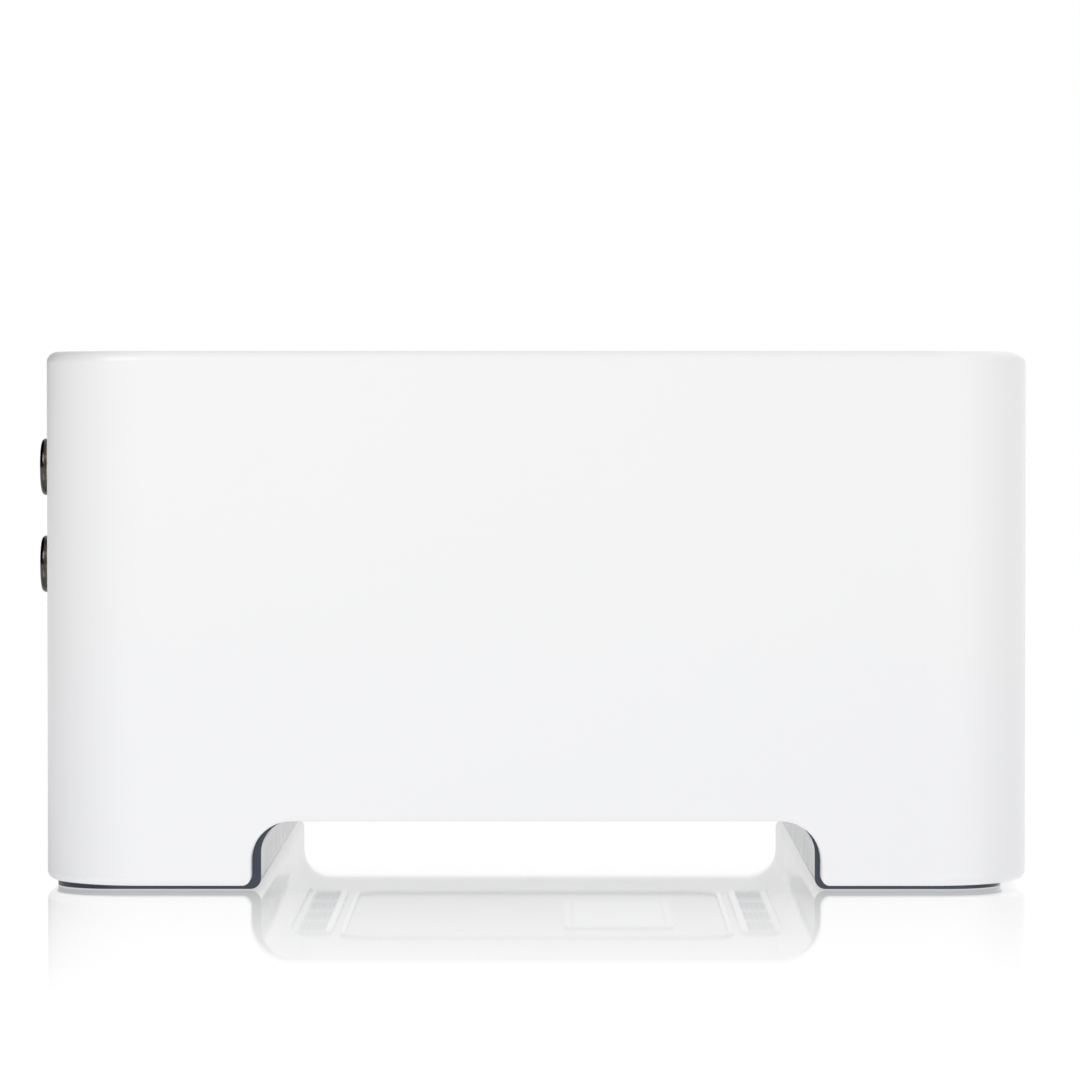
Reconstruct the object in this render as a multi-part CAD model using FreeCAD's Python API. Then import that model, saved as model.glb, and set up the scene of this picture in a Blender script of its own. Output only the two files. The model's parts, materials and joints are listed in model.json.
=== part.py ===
"""Wireless router with stereo line jacks: a square white case over an arched dark base.

+Z is up, the front (buttons) faces -Y and the rear (connectors) faces +Y. The tunnel runs along X.
Lengths are millimetres. Every sub-part is drawn with the case centred on X = Y = 0, and save() then
moves it so that the origin is the middle of the whole object's underside, jacks and buttons included.
"""

import FreeCAD
import Part
import math
import os

# ---- driving dimensions -------------------------------------------------------------------------
CASE = 136.0            # case width and depth
HALF = CASE / 2
TOP = 74.0              # height of the case above the table
SHELL_FOOT = 0.8        # the shell's bottom edge hangs this far above the table
CORNER_R = 14.0         # upright corners
WALL = 2.4
ROOF = 2.6
TOP_EDGE_R = 1.5
FOOT_EDGE_R = 1.2
ROLL = 4.0              # the front top edge is rolled over this length
ROLL_R = 6.4
ROLL_NOSE_R = 1.0
GAP = 0.15              # fit between fixed mouldings

ARCH_HALF = 39.0        # tunnel mouth in the shell
ARCH_TOP = 9.7
ARCH_R = 5.5
ARCH_FOOT_R = 1.4
LIP = 1.6               # thickness of the shell's lip round the mouth
MOUTH_BEVEL = 0.2

BASE_X = 64.0           # the base stops short of the shell's sides
BASE_FRONT = -64.5
BASE_REAR = 66.4
BASE_CORNER_R = 8.0
TUB_CORNER_R = 10.0
BASE_FOOT = 0.1         # underside of the base, above its rubber pads
BASE_SKIN = 2.2
SLAB_TOP = 2.6
TUNNEL_Y = -0.25        # middle of the base's tunnel, a little narrower than the shell's mouth
TUNNEL_HALF = 38.05
TUNNEL_R = 4.5
TUNNEL_FOOT_R = 1.5
ROOF_UNDER = ARCH_TOP - 0.1
BASE_TOP = ROOF_UNDER + BASE_SKIN

JACK_PROUD = 3.4        # phono jacks past the rear face
BUTTON_PROUD = 0.6      # buttons past the front face
TRAVEL = 0.5            # how far a button goes in
REAR_PLATE = (60.0, 62.0)
SHIFT_Y = (BUTTON_PROUD - JACK_PROUD) / 2

MAIN_Z = (34.2, 35.8)   # main board
POWER_Z = (16.0, 17.6)  # power supply board
COLUMNS = [(-54.0, -54.0), (54.0, -54.0), (-54.0, 55.0), (54.0, 55.0)]
COLUMN_R = 3.6
COLUMN_FOOT = 5.1
POSTS = [(-46.5, -44.0), (46.5, -44.0), (-46.5, 40.0), (46.5, 40.0)]
POST_R = 3.2
POWER_POSTS = [(-38.0, -4.0), (38.0, -4.0), (-38.0, 42.0), (38.0, 42.0)]

# Rear window in the shell, and the recessed connector panel that fills it.
WINDOW_X = 51.0
WINDOW_Z = (13.0, 68.0)
WINDOW_R = 4.0
RIM = 1.5

# Connector centres on the rear panel.
OUT_X = -26.0
IN_X = -9.0
COAX_X = 7.0
LOW_Z = 43.7
HIGH_Z = 57.7
OPTICAL_X = 21.0
NETWORK_X = 39.0
INLET = (-30.0, 24.4)
BARREL_R = 4.1
ROOT_R = 3.9            # the barrel inside its housing
INSERT_R = 3.2
CONTACT_R = 2.0
PIN_R = 1.65

# Front controls.
KEY_X = 40.0
MUTE_Z = 54.0
UP_Z = 40.0
DOWN_Z = 29.5
LAMP = (26.0, 54.0)
KEY_GAP = 0.25
FRONT_INNER = -HALF + WALL
BOARD_Y = (-57.0, -55.4)      # button board
SWITCH_FACE = -60.5

X, Y, Z = 0, 1, 2
LOWEST = -5.0           # below everything, for cutters


# ---- drawing helpers ----------------------------------------------------------------------------
def vec(x, y, z):
    return FreeCAD.Vector(x, y, z)


def block(x, y, z):
    """A box from three (low, high) pairs."""
    return Part.makeBox(x[1] - x[0], y[1] - y[0], z[1] - z[0], vec(x[0], y[0], z[0]))


def around(middle, width):
    """The (low, high) pair of a width about its middle."""
    return (middle - width / 2, middle + width / 2)


def edges_along(solid, axis, where=lambda point: True):
    """The solid's straight edges that run along one axis and pass the test."""
    found = []
    for edge in solid.Edges:
        if len(edge.Vertexes) == 2 and isinstance(edge.Curve, Part.Line):
            step = edge.Vertexes[1].Point - edge.Vertexes[0].Point
            if abs(abs(step[axis]) - step.Length) < 1e-6 and where(edge.CenterOfMass):
                found.append(edge)
    return found


def soft_block(x, y, z, radius, axis=Z, where=lambda point: True):
    """A box with the edges along one axis rounded."""
    solid = block(x, y, z)
    return solid.makeFillet(radius, edges_along(solid, axis, where))


def rod(radius, centre, span, axis=Y):
    """A cylinder along one axis. centre holds the other two coordinates, in X, Y, Z order."""
    low, high = span
    start = {X: (low, *centre), Y: (centre[0], low, centre[1]), Z: (*centre, low)}[axis]
    direction = vec(*[float(i == axis) for i in range(3)])
    return Part.makeCylinder(radius, high - low, vec(*start), direction)


def ring(outer, inner, centre, span, axis=Y):
    return rod(outer, centre, span, axis).cut(rod(inner, centre, span, axis))


def fuse(shapes):
    return shapes[0].multiFuse(shapes[1:]).removeSplitter() if len(shapes) > 1 else shapes[0]


def cut(solid, *tools):
    for tool in tools:
        solid = solid.cut(tool)
    return solid


def group(solids):
    """Separate solids that share one node."""
    return Part.makeCompound(solids)


def line(a, b):
    return Part.LineSegment(a, b).toShape()


def arch_wire(half, ceiling, radius, foot_radius, foot, x):
    """A tunnel's outline at one X, with rounded upper corners and a flare at its feet."""
    part = 1 - math.sqrt(0.5)

    def point(y, z):
        return vec(x, y, z)

    def side(sign):
        low = [point(sign * (half + foot_radius), foot), point(sign * half, foot + foot_radius)]
        high = [point(sign * half, ceiling - radius), point(sign * (half - radius), ceiling)]
        flare = point(sign * (half + foot_radius * part), foot + foot_radius * part)
        corner = point(sign * (half - radius * part), ceiling - radius * part)
        bend = Part.Arc(low[0], flare, low[1]).toShape()
        turn = Part.Arc(high[0], corner, high[1]).toShape()
        drop = point(sign * (half + foot_radius), LOWEST)
        return drop, high[1], [line(drop, low[0]), bend, line(low[1], high[0]), turn]

    drop_a, crown_a, edges_a = side(-1)
    drop_b, crown_b, edges_b = side(1)
    outline = edges_a + edges_b + [line(crown_a, crown_b), line(drop_a, drop_b)]
    return Part.Wire(Part.__sortEdges__(outline))


def arch(half, ceiling, radius, foot_radius, foot):
    """A tunnel-shaped cutter that goes through everything along X."""
    outline = arch_wire(half, ceiling, radius, foot_radius, foot, -CASE)
    return Part.Face(outline).extrude(vec(2 * CASE, 0, 0))


def mouth_bevel(side):
    """The cutter that bevels the shell's edge round one end of the tunnel."""
    outlines = []
    for grow, x in ((0.0, HALF - MOUTH_BEVEL), (2 * MOUTH_BEVEL, HALF + MOUTH_BEVEL)):
        sizes = (ARCH_HALF + grow, ARCH_TOP + grow, ARCH_R + grow, ARCH_FOOT_R)
        outlines.append(arch_wire(*sizes, SHELL_FOOT, side * x))
    return Part.makeLoft(outlines, True, True)


def bent_path(points):
    """Straight runs joined by tangent arcs, each as large as its two runs allow."""
    points = [vec(*p) for p in points]
    edges = []
    start = points[0]
    for before, here, after in zip(points, points[1:], points[2:]):
        back = before - here
        ahead = after - here
        turn = math.pi - back.getAngle(ahead)
        setback = 0.45 * min(back.Length, ahead.Length)
        radius = setback / math.tan(turn / 2)
        back.normalize()
        ahead.normalize()
        first = here + back * setback
        last = here + ahead * setback
        inward = back + ahead
        inward.normalize()
        centre_distance = math.hypot(radius, setback)
        middle = here + inward * (centre_distance - radius)
        edges.append(line(start, first))
        edges.append(Part.Arc(first, middle, last).toShape())
        start = last
    edges.append(line(start, points[-1]))
    return Part.Wire(edges)


def wire_tube(points, radius):
    """A round lead along a bent path."""
    path = bent_path(points)
    direction = vec(*points[1]) - vec(*points[0])
    circle = Part.Wire(Part.makeCircle(radius, vec(*points[0]), direction))
    return path.makePipeShell([circle], True, True)


# ---- casing -------------------------------------------------------------------------------------
def case_block():
    """The case's outer form: a square with round corners, and a top that rolls over at the front."""
    solid = soft_block((-HALF, HALF), (-HALF, HALF), (SHELL_FOOT, TOP), CORNER_R)
    rim = [e for e in solid.Edges if abs(e.CenterOfMass.z - TOP) < 1e-6]
    solid = solid.makeFillet(TOP_EDGE_R, rim)
    foot = [e for e in solid.Edges if abs(e.CenterOfMass.z - SHELL_FOOT) < 1e-6]
    solid = solid.makeFillet(FOOT_EDGE_R, foot)
    start = -HALF + ROLL
    centre_z = TOP - ROLL_R
    drop = math.sqrt(ROLL_R ** 2 - ROLL ** 2)
    half_turn = math.asin(ROLL / ROLL_R) / 2

    def point(y, z):
        return vec(-CASE, y, z)

    crown = point(start, TOP)
    middle = point(start - ROLL_R * math.sin(half_turn), centre_z + ROLL_R * math.cos(half_turn))
    nose = point(-HALF, centre_z + drop)
    corners = [nose, point(-HALF, LOWEST), point(CASE, LOWEST), point(CASE, TOP), crown]
    outline = [line(a, b) for a, b in zip(corners, corners[1:])]
    outline.append(Part.Arc(crown, middle, nose).toShape())
    rolled = Part.Face(Part.Wire(outline)).extrude(vec(2 * CASE, 0, 0))
    nose_edge = edges_along(rolled, X, lambda p: abs(p.y + HALF) < 1e-6 and p.z > 0)
    return solid.common(rolled.makeFillet(ROLL_NOSE_R, nose_edge))


def key_outline(name, grow, y):
    """One button's outline, grown all round, as a solid along Y."""
    round_key = 5.0
    width, height, corner = 15.0, 9.0, 2.6
    if name == "mute":
        return rod(round_key + grow, (KEY_X, MUTE_Z), y)
    middle = {"up": UP_Z, "down": DOWN_Z}[name]
    x = around(KEY_X, width + 2 * grow)
    z = around(middle, height + 2 * grow)
    return soft_block(x, y, z, corner + grow, Y)


def top_shell():
    inner = HALF - WALL
    inner_top = TOP - ROOF
    flange_top = 2.8
    lamp_r = 1.5
    pilot_depth = 17.1
    shell = case_block()
    cavity = soft_block((-inner, inner), (-inner, inner), (flange_top, inner_top), CORNER_R - WALL)
    mouth_x = BASE_X + GAP
    base_y = (BASE_FRONT - GAP, BASE_REAR + GAP)
    base_hole = soft_block((-mouth_x, mouth_x), base_y, (0, flange_top + 1), BASE_CORNER_R + GAP)
    rear_keep = block((-CASE, CASE), (inner, CASE), (flange_top, TOP))
    shell = cut(shell, cavity, cut(base_hole, rear_keep))
    lips = []
    for x in ((-inner - GAP, -mouth_x), (mouth_x, inner + GAP)):
        sleeve = block(x, around(0, 2 * (ARCH_HALF + LIP)), (SHELL_FOOT, ARCH_TOP + LIP))
        lips.append(sleeve.makeFillet(ARCH_R + LIP, edges_along(sleeve, X, lambda p: p.z > ARCH_TOP)))
    columns = [rod(COLUMN_R, place, (COLUMN_FOOT, inner_top + 1), Z) for place in COLUMNS]
    shell = fuse([shell] + lips + columns)
    shell = cut(shell, arch(ARCH_HALF, ARCH_TOP, ARCH_R, ARCH_FOOT_R, SHELL_FOOT))
    shell = cut(shell, mouth_bevel(-1), mouth_bevel(1))
    pilots = [rod(1.5, place, (COLUMN_FOOT - 1, COLUMN_FOOT + pilot_depth), Z) for place in COLUMNS]
    front = (-HALF - 1, FRONT_INNER + 1)
    keys = [key_outline(name, KEY_GAP, front) for name in ("mute", "up", "down")]
    lamp = rod(lamp_r + GAP / 3, LAMP, front)
    window = soft_block((-WINDOW_X, WINDOW_X), (inner - 1, HALF + 1), WINDOW_Z, WINDOW_R, Y)
    return cut(shell, window, lamp, *pilots, *keys)


def base_tray():
    """The dark base: two hollow feet joined by the tunnel's roof."""
    tub_y = (-64.3, 65.2)
    wall = BASE_SKIN
    slab_y = (BASE_FRONT, BASE_REAR)
    slab = soft_block((-BASE_X, BASE_X), slab_y, (BASE_FOOT, SLAB_TOP), BASE_CORNER_R)
    tub = soft_block((-BASE_X, BASE_X), tub_y, (SLAB_TOP, BASE_TOP), TUB_CORNER_R)
    tray = fuse([slab, tub])
    roof_half = TUNNEL_HALF + abs(TUNNEL_Y) + wall
    floor = BASE_FOOT + wall
    inside = (-BASE_X + wall, BASE_X - wall)
    channels = [
        soft_block(inside, (tub_y[0] + wall, -roof_half), (floor, BASE_TOP + 1), TUB_CORNER_R - wall,
                   Z, lambda p: p.y < -60),
        soft_block(inside, (roof_half, tub_y[1] - wall), (floor, BASE_TOP + 1), TUB_CORNER_R - wall,
                   Z, lambda p: p.y > 60),
    ]
    tray = cut(tray, *channels)
    added = [rod(POST_R, place, (floor, MAIN_Z[0]), Z) for place in POSTS]
    added += [rod(3.0, place, (BASE_TOP - 1, POWER_Z[0]), Z) for place in POWER_POSTS]
    added += [rod(4.6, place, (floor - 1, COLUMN_FOOT - 0.1), Z) for place in COLUMNS]
    tunnel = arch(TUNNEL_HALF, ROOF_UNDER, TUNNEL_R, TUNNEL_FOOT_R, BASE_FOOT)
    tunnel.translate(vec(0, TUNNEL_Y, 0))
    tray = cut(fuse([tray] + added), tunnel)
    bores = [rod(1.3, place, (MAIN_Z[0] - 8, MAIN_Z[0] + 1), Z) for place in POSTS]
    bores += [rod(1.3, place, (POWER_Z[0] - 4, POWER_Z[0] + 1), Z) for place in POWER_POSTS]
    bores += [rod(1.7, place, (0, COLUMN_FOOT), Z) for place in COLUMNS]
    bores += [rod(3.1, place, (0, 3.2), Z) for place in COLUMNS]
    pads = [pad_block(sign, GAP / 3) for sign in (-1, 1)]
    return cut(tray, roof_trim(GAP / 3), *bores, *pads, *vent_windows())


VENT_Y = (29.6, 35.6)        # the two ladder grilles in the tunnel's roof, each side of the middle
VENT_X = (-28.4, 36.9)
VENT_R = 2.0
VENT_RAIL = 1.0
VENT_CELLS = 4
VENT_STAND = 0.3            # the grilles and the trim line stand this far out of the roof


def vent_side(sign, inset):
    """One grille's (low, high) pair in Y, drawn in by inset."""
    return sorted((sign * (VENT_Y[0] + inset), sign * (VENT_Y[1] - inset)))


def vent_windows():
    """The two long holes in the tunnel's roof."""
    x = grown(VENT_X, GAP / 3)
    return [soft_block(x, vent_side(sign, -GAP / 3), (0, BASE_TOP + 1), VENT_R) for sign in (-1, 1)]


def vent_cells(sign, z, grow=0.0):
    """The cells of one ladder."""
    cells = []
    pitch = (VENT_X[1] - VENT_X[0] - VENT_RAIL) / VENT_CELLS
    for step in range(VENT_CELLS):
        start = VENT_X[0] + VENT_RAIL + step * pitch
        x = (start, start + pitch - VENT_RAIL)
        cells.append(soft_block(grown(x, grow), vent_side(sign, VENT_RAIL - grow), z, 0.8))
    return cells


def roof_trim(grow=0.0):
    """The thin pale line let into the tunnel's roof between the grilles, round the label."""
    half_y, radius, width, sunk = 28.3, 5.0, 0.6, 0.6
    x = (-34.0, 36.2)
    z = (ROOF_UNDER - VENT_STAND, ROOF_UNDER + sunk + grow)
    outer = soft_block(grown(x, grow), (-half_y - grow, half_y + grow), z, radius + grow)
    inset = width + grow
    inner_y = half_y - inset
    inner = soft_block(grown(x, -inset), (-inner_y, inner_y), z, radius - inset)
    return outer.cut(inner)


def vent_grilles():
    """The pale ladder-shaped grilles that fill the two holes, and the trim line between them."""
    grilles = [roof_trim()]
    for sign in (-1, 1):
        ladder = soft_block(VENT_X, vent_side(sign, 0), (ROOF_UNDER - VENT_STAND, BASE_TOP), VENT_R)
        grilles.append(cut(ladder, *vent_cells(sign, (0, BASE_TOP + 1))))
    return group(grilles)


def vent_mesh():
    """The dust gauze in the cells of both grilles."""
    z = (ROOF_UNDER + 0.05, ROOF_UNDER + 0.25)
    return group([sheet for sign in (-1, 1) for sheet in vent_cells(sign, z)])


def pad_block(sign, grow=0.0):
    """One long rubber foot, under the front (-1) or rear (1) of the base."""
    half_length, middle, width, thick = 45.0, 53.0, 12.0, 1.3
    x = (-half_length - grow, half_length + grow)
    y = around(sign * middle, width + 2 * grow)
    return soft_block(x, y, (0, thick), 4.0 + grow)


def foot_pads():
    return group([pad_block(-1), pad_block(1)])


def rating_label():
    """A blank label in the tunnel's roof."""
    return soft_block((-21.0, 21.0), (-20.0, -4.0), (ROOF_UNDER - 0.15, ROOF_UNDER), 1.5)


def panel_openings(grow):
    """What passes through the rear panel, grown all round, as solids along Y."""
    y = (REAR_PLATE[0] - 1, REAR_PLATE[1] + 1)
    holes = [rod(BARREL_R + grow, (x, z), y) for x, z in jack_places()]
    holes.append(block(*[grown(pair, grow) for pair in optical_box(y)]))
    holes.append(block(*[grown(pair, grow) for pair in network_box(y)]))
    holes.append(inlet_body(y, grow))
    return holes


def grown(pair, grow):
    return (pair[0] - grow, pair[1] + grow)


def rear_panel():
    """A shallow recessed tub that fills the shell's rear window and holds the connectors."""
    outer_x = WINDOW_X - GAP
    outer_z = grown(WINDOW_Z, -GAP)
    rear = HALF - 0.2
    tub = soft_block((-outer_x, outer_x), (REAR_PLATE[0], rear), outer_z, WINDOW_R - GAP, Y)
    inner_x = outer_x - RIM
    hollow = soft_block((-inner_x, inner_x), (REAR_PLATE[1], HALF), grown(outer_z, -RIM), WINDOW_R - RIM, Y)
    screws = [rod(1.25, place, (REAR_PLATE[0] - 1, REAR_PLATE[1] + 1)) for place in JACK_SCREWS]
    return cut(tub, hollow, *screws, *panel_openings(GAP))


# ---- connectors ---------------------------------------------------------------------------------
def jack_places():
    """Centres of the five phono jacks on the rear panel."""
    return [(OUT_X, LOW_Z), (OUT_X, HIGH_Z), (IN_X, LOW_Z), (IN_X, HIGH_Z), (COAX_X, LOW_Z)]


JACK_SCREWS = [(-17.5, LOW_Z), (-17.5, HIGH_Z)]
JACK_END = HALF + JACK_PROUD
HOUSING_Y = (46.0, REAR_PLATE[0])


def jack_housing(x, top, places):
    body = block(x, HOUSING_Y, (MAIN_Z[1], top))
    return cut(body, *[rod(ROOT_R, place, (54.0, 61.0)) for place in places])


def line_jack_housing():
    """The moulding that holds the two stacked pairs of phono jacks."""
    body = jack_housing((-33.0, -2.0), 64.0, jack_places()[:4])
    return cut(body, *[rod(1.25, place, (52.0, 61.0)) for place in JACK_SCREWS])


def coax_jack_housing():
    return jack_housing((1.4, 12.6), 50.0, jack_places()[4:])


def barrel(place):
    """A metal phono barrel: a root, a collar at the panel, a plain sleeve and a rolled mouth."""
    collar_y = (REAR_PLATE[1], REAR_PLATE[1] + 0.6)
    sleeve = ring(BARREL_R, INSERT_R, place, (collar_y[1] + 0.4, JACK_END))
    mouth = [e for e in sleeve.Edges if abs(e.CenterOfMass.y - JACK_END) < 1e-6]
    sleeve = sleeve.makeFillet(0.6, [e for e in mouth if e.Curve.Radius > INSERT_R + 0.1])
    root = ring(ROOT_R, INSERT_R, place, (54.0, collar_y[1] + 0.5))
    collar = ring(BARREL_R + 1.0, INSERT_R, place, collar_y)
    groove = ring(BARREL_R + 0.1, BARREL_R - 0.22, place, (JACK_END - 1.3, JACK_END - 0.95))
    return fuse([root, collar, sleeve]).cut(groove)


def insert(place):
    """The coloured insulator inside a barrel, with the hole for the plug's pin."""
    mouth = JACK_END - 0.7
    body = rod(INSERT_R, place, (54.0, mouth))
    return cut(body, rod(CONTACT_R, place, (57.0, mouth - 0.8)), rod(PIN_R + 0.1, place, (57.0, mouth + 1)))


def contact(place):
    return ring(CONTACT_R, PIN_R, place, (57.0, JACK_END - 1.5))


def line_jack_barrels():
    return group([barrel(place) for place in jack_places()[:4]])


def coax_jack_barrel():
    return barrel(jack_places()[4])


def left_jack_inserts():
    return group([insert(place) for place in jack_places()[:4] if place[1] == HIGH_Z])


def right_jack_inserts():
    return group([insert(place) for place in jack_places()[:4] if place[1] == LOW_Z])


def coax_jack_insert():
    return insert(jack_places()[4])


def jack_contacts():
    return group([contact(place) for place in jack_places()])


OPTICAL_SIZE = (10.4, 11.5)
OPTICAL_HINGE = (61.3, 45.4)     # Y and Z of the shutter's hinge line
SHUTTER_PIN_R = 0.45
CAVITY_X = 4.3


def optical_box(y):
    return around(OPTICAL_X, OPTICAL_SIZE[0]), y, (MAIN_Z[1], MAIN_Z[1] + OPTICAL_SIZE[1])


def optical_socket():
    """The square socket for an optical lead, with the pocket that its shutter folds into."""
    face = REAR_PLATE[1] + 0.9
    body = block(*optical_box((47.0, face)))
    x = (OPTICAL_X - CAVITY_X, OPTICAL_X + CAVITY_X)
    cavity = block(x, (52.4, 62.2), (36.9, 46.2))
    mouth = soft_block(x, (62.0, face + 1), (36.9, 44.9), 0.8, Y)
    pivot = rod(SHUTTER_PIN_R + 0.06, OPTICAL_HINGE, (x[0] - 0.5, x[1] + 0.5), X)
    slot = block((x[0] - 0.5, x[1] + 0.5), around(OPTICAL_HINGE[0], 2 * SHUTTER_PIN_R + 0.12),
                 (OPTICAL_HINGE[1], 46.2))
    emitter = rod(1.3, (OPTICAL_X, 40.9), (51.0, 53.0))
    return cut(body, cavity, mouth, pivot, slot, emitter)


def optical_emitter():
    return rod(1.3, (OPTICAL_X, 40.9), (51.0, 53.4))


def optical_shutter():
    """The sprung flap behind the optical socket's mouth. It hangs from a pin and folds inwards."""
    width = 2 * CAVITY_X - 0.5
    x = around(OPTICAL_X, width)
    leaf = soft_block(x, around(OPTICAL_HINGE[0], 0.8), (37.2, OPTICAL_HINGE[1]), 0.3, X)
    pin = rod(SHUTTER_PIN_R, OPTICAL_HINGE, around(OPTICAL_X, width + 1.2), X)
    boss = rod(2.2, (OPTICAL_X, 41.2), (OPTICAL_HINGE[0] + 0.3, OPTICAL_HINGE[0] + 0.65))
    return fuse([leaf, pin, boss])


PORT_DEPTH = 49.0
PORT_Z = (42.9, 55.7)
PORT_SIZE = (11.9, 6.9)


def network_box(y):
    return around(NETWORK_X, 16.2), y, (MAIN_Z[1], MAIN_Z[1] + 26.6)


def network_socket():
    """Two network ports, one above the other, in one metal-clad block."""
    face = REAR_PLATE[1] + 0.9
    body = block(*network_box((45.0, face)))
    tools = []
    for middle in PORT_Z:
        z = around(middle, PORT_SIZE[1])
        y = (PORT_DEPTH, face + 1)
        tools.append(block(around(NETWORK_X, PORT_SIZE[0]), y, z))
        tools.append(block(around(NETWORK_X, 6.4), y, (z[0] - 1.6, z[0] + 0.1)))
        tools.append(block(around(NETWORK_X, 3.2), y, (z[0] - 2.6, z[0] - 1.5)))
        for side in (-1, 1):
            x = around(NETWORK_X + side * 5.9, 2.4)
            tools.append(block(x, (face - 1.2, face + 1), around(z[1] + 1.7, 1.8)))
    return cut(body, *tools)


def network_contacts():
    """Eight sprung wires in the roof of each port."""
    wires = []
    pitch = 1.02
    for middle in PORT_Z:
        top = middle + PORT_SIZE[1] / 2
        for step in range(8):
            x = NETWORK_X + (step - 3.5) * pitch
            wires.append(block(around(x, 0.45), (50.5, 59.5), (top - 0.45, top)))
            wires[-1] = fuse([wires[-1], block(around(x, 0.45), (50.5, 51.0), (top - 1.7, top))])
    return group(wires)


def link_lights(side):
    """The small lamps at one upper corner of both ports."""
    face = REAR_PLATE[1] + 0.8
    lamps = []
    for middle in PORT_Z:
        z = around(middle + PORT_SIZE[1] / 2 + 1.7, 1.8)
        lamps.append(block(around(NETWORK_X + side * 5.9, 2.4), (face - 1.1, face), z))
    return group(lamps)


def green_link_lights():
    return link_lights(-1)


def amber_link_lights():
    return link_lights(1)


def inlet_body(y, grow=0.0):
    x = around(INLET[0], 21.0 + 2 * grow)
    return soft_block(x, y, around(INLET[1], 13.6 + 2 * grow), 5.0, Y)


PIN_PITCH = 8.6
INLET_DEPTH = 49.5


def power_inlet():
    """The figure-of-eight mains socket."""
    face = REAR_PLATE[1] + 0.9
    body = inlet_body((46.0, face))
    wells = [rod(4.65, (INLET[0] + side * PIN_PITCH / 2, INLET[1]), (INLET_DEPTH, face + 1)) for side in (-1, 1)]
    bridge = block(around(INLET[0], PIN_PITCH), (INLET_DEPTH, face + 1), around(INLET[1], 7.8))
    flange = inlet_body((REAR_PLATE[1], face), 0.9)
    pins = [rod(1.2, place, (45.0, INLET_DEPTH + 1)) for place in pin_places()]
    return cut(fuse([body, flange]), bridge, *wells, *pins)


def pin_places():
    return [(INLET[0] + side * PIN_PITCH / 2, INLET[1]) for side in (-1, 1)]


def inlet_pins():
    pins = []
    for place in pin_places():
        pin = rod(1.2, place, (43.0, 58.5))
        tip = [e for e in pin.Edges if abs(e.CenterOfMass.y - 58.5) < 1e-6]
        pins.append(pin.makeFillet(0.8, tip))
    return group(pins)


# ---- front controls -----------------------------------------------------------------------------
KEYS = {"mute": MUTE_Z, "up": UP_Z, "down": DOWN_Z}
FLANGE_Y = (FRONT_INNER + 0.2, FRONT_INNER + 1.1)
STEM_END = -61.9
PLUNGER_R = 1.7
PLUNGER_END = -59.6


def sign_cutter(name):
    """The shallow mark on a button's face: a bar, with an upright bar for more and a ring for mute."""
    depth = (-HALF - BUTTON_PROUD - 1, -HALF - BUTTON_PROUD + 0.25)
    middle = KEYS[name]
    bar = block(around(KEY_X, 4.0), depth, around(middle, 0.7))
    if name == "up":
        return fuse([bar, block(around(KEY_X, 0.7), depth, around(middle, 4.0))])
    if name == "mute":
        return ring(2.2, 1.6, (KEY_X, middle), depth)
    return bar


def button(name):
    """A push button: face, retaining flange behind the wall, and the stem that meets its switch."""
    face = key_outline(name, 0.0, (-HALF - BUTTON_PROUD, FLANGE_Y[1]))
    front = [e for e in face.Edges if abs(e.CenterOfMass.y + HALF + BUTTON_PROUD) < 1e-6]
    face = face.makeFillet(0.4, front)
    flange = key_outline(name, 0.6, FLANGE_Y)
    stem = rod(2.2, (KEY_X, KEYS[name]), (FLANGE_Y[0], STEM_END))
    return fuse([face, flange, stem]).cut(sign_cutter(name))


def plunger(name):
    """The switch's own plunger, which the button's stem pushes."""
    return rod(PLUNGER_R, (KEY_X, KEYS[name]), (STEM_END, PLUNGER_END))


def button_switches():
    """The three switch bodies on the button board."""
    switches = []
    for middle in KEYS.values():
        body = block(around(KEY_X, 6.0), (SWITCH_FACE, BOARD_Y[0]), around(middle, 6.0))
        room = (SWITCH_FACE - 1, PLUNGER_END + TRAVEL + 0.5)
        switches.append(cut(body, rod(PLUNGER_R + 0.12, (KEY_X, middle), room)))
    return group(switches)


def button_board():
    board = block((18.0, 50.0), BOARD_Y, (22.0, 62.0))
    return cut(board, block((18.0, 20.0), grown(BOARD_Y, 1), (44.0, 47.0)))


def light_pipe():
    """The clear rod that carries the status light to the front."""
    pipe = rod(1.5, LAMP, (-HALF - 0.1, -59.4))
    collar = rod(2.4, LAMP, (FRONT_INNER + 0.1, FRONT_INNER + 1.3))
    return fuse([pipe, collar])


def status_light():
    return block(around(LAMP[0], 3.2), (-59.2, BOARD_Y[0]), around(LAMP[1], 2.8))


# ---- boards and what they carry -----------------------------------------------------------------
def main_board():
    board = block((-50.0, 50.0), (-50.0, 59.0), MAIN_Z)
    holes = [rod(1.5, place, grown(MAIN_Z, 1), Z) for place in POSTS]
    return cut(board, *holes)


def power_board():
    board = block((-43.0, 43.0), (-9.0, 58.0), POWER_Z)
    holes = [rod(1.5, place, grown(POWER_Z, 1), Z) for place in POWER_POSTS]
    post_notches = [rod(POST_R + 0.5, place, grown(POWER_Z, 1), Z) for place in POSTS]
    return cut(board, *holes, *post_notches)


def insulating_sheet():
    """The thin plastic sheet under the power supply board."""
    sheet = block((-41.5, 41.5), (-8.0, 57.0), (BASE_TOP + 0.4, BASE_TOP + 0.7))
    return cut(sheet, *[rod(3.3, place, (BASE_TOP, BASE_TOP + 2), Z) for place in POWER_POSTS])


def on_main(x, y, height):
    """A block that stands on the main board."""
    return block(x, y, (MAIN_Z[1], MAIN_Z[1] + height))


CHIP = ((-34.0, -12.0), (2.0, 24.0))
CHIP_HEIGHT = 2.0


def processor():
    return on_main(*CHIP, CHIP_HEIGHT)


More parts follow.
